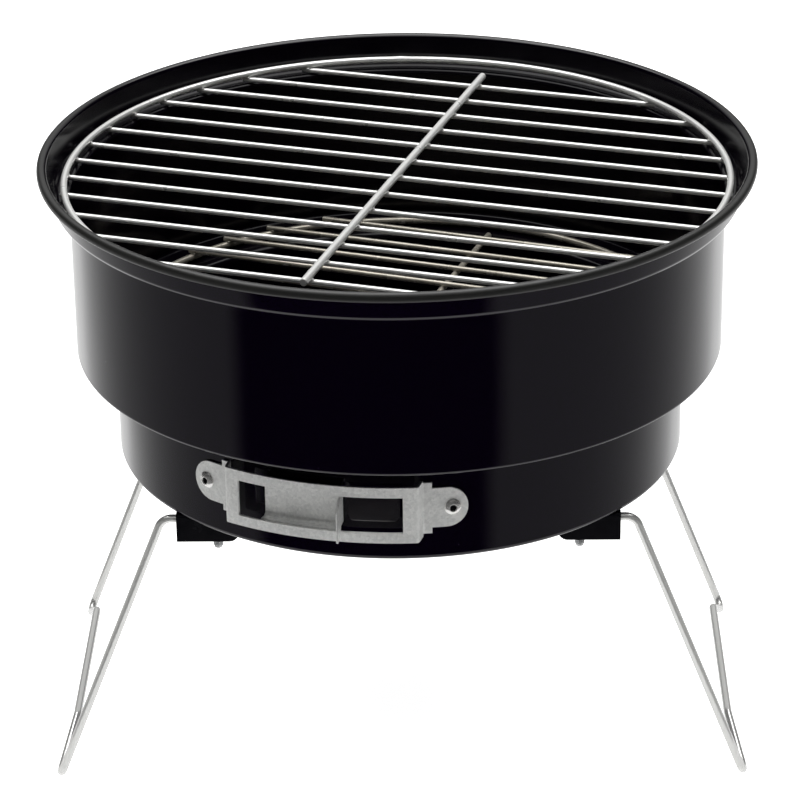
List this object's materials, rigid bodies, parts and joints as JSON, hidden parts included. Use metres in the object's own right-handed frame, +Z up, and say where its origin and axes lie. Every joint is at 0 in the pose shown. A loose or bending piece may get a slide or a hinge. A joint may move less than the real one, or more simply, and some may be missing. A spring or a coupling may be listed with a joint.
{
  "type": "portable tabletop grill",
  "caption": "Round portable charcoal grill: stepped enamel bowl, lift-out wire grid and charcoal grate, sliding air vent and fold-under wire legs.",
  "frame": {"origin": "on the surface that the feet stand on, under the bowl's centre line", "axes": "+Z up along the bowl's axis; the air vent faces -Y; the leg frames stand on the -X (left) and +X (right) sides"},
  "size_m": [0.295, 0.295, 0.2533],
  "materials": {
    "black_enamel": "gloss enamel",
    "black_steel": "semi-gloss black paint",
    "chromed_wire": "bright plated wire",
    "grate_wire": "dull plated wire",
    "leg_chrome": "bright plated wire",
    "galvanised_sheet": "matt galvanised",
    "rivet_steel": "polished",
    "zinc_steel": "bright zinc"
  },
  "bodies": {
    "bowl": {"bowl": "black_enamel", "vent_frame": "galvanised_sheet", "vent_rivet_left": "rivet_steel", "vent_rivet_right": "rivet_steel", "leg_bracket_front_left": "black_steel", "leg_bracket_front_right": "black_steel", "leg_bracket_rear_left": "black_steel", "leg_bracket_rear_right": "black_steel", "bracket_screws": "zinc_steel", "bracket_washers": "zinc_steel", "bracket_nuts": "zinc_steel"},
    "cooking_grid": {"cooking_grid_ring": "chromed_wire", "cooking_grid_bar_01": "chromed_wire", "cooking_grid_bar_02": "chromed_wire", "cooking_grid_bar_03": "chromed_wire", "cooking_grid_bar_04": "chromed_wire", "cooking_grid_bar_05": "chromed_wire", "cooking_grid_bar_06": "chromed_wire", "cooking_grid_bar_07": "chromed_wire", "cooking_grid_bar_08": "chromed_wire", "cooking_grid_bar_09": "chromed_wire", "cooking_grid_bar_10": "chromed_wire", "cooking_grid_bar_11": "chromed_wire", "cooking_grid_bar_12": "chromed_wire", "cooking_grid_bar_13": "chromed_wire", "cooking_grid_crossbar": "chromed_wire"},
    "charcoal_grate": {"charcoal_grate_ring": "grate_wire", "charcoal_grate_bar_01": "grate_wire", "charcoal_grate_bar_02": "grate_wire", "charcoal_grate_bar_03": "grate_wire", "charcoal_grate_bar_04": "grate_wire", "charcoal_grate_bar_05": "grate_wire", "charcoal_grate_bar_06": "grate_wire", "charcoal_grate_bar_07": "grate_wire", "charcoal_grate_bar_08": "grate_wire", "charcoal_grate_bar_09": "grate_wire", "charcoal_grate_bar_10": "grate_wire", "charcoal_grate_bar_11": "grate_wire", "charcoal_grate_bar_12": "grate_wire", "charcoal_grate_bar_13": "grate_wire", "charcoal_grate_crossbar": "grate_wire"},
    "vent_shutter": {"vent_shutter": "galvanised_sheet"},
    "leg_left": {"leg_left": "leg_chrome"},
    "leg_right": {"leg_right": "leg_chrome"}
  },
  "joints": [
    {"name": "cooking_grid_lift", "type": "slide", "parent": "bowl", "child": "cooking_grid", "axis": [0, 0, 1], "range_m": [0, 0.16]},
    {"name": "charcoal_grate_lift", "type": "slide", "parent": "bowl", "child": "charcoal_grate", "axis": [0, 0, 1], "range_m": [0, 0.1]},
    {"name": "vent_slide", "type": "hinge", "parent": "bowl", "child": "vent_shutter", "pos_m": [0, 0, 0.1495], "axis": [0, 0, 1], "range_deg": [-6, 11]},
    {"name": "leg_left_fold", "type": "hinge", "parent": "bowl", "child": "leg_left", "pos_m": [-0.0815, 0, 0.123], "axis": [0, -1, 0], "range_deg": [0, 112]},
    {"name": "leg_right_fold", "type": "hinge", "parent": "bowl", "child": "leg_right", "pos_m": [0.0815, 0, 0.123], "axis": [0, 1, 0], "range_deg": [0, 105]}
  ],
  "couplings": [
    {"joint": "charcoal_grate_lift", "follows": "cooking_grid_lift", "ratio": 0.625}
  ]
}
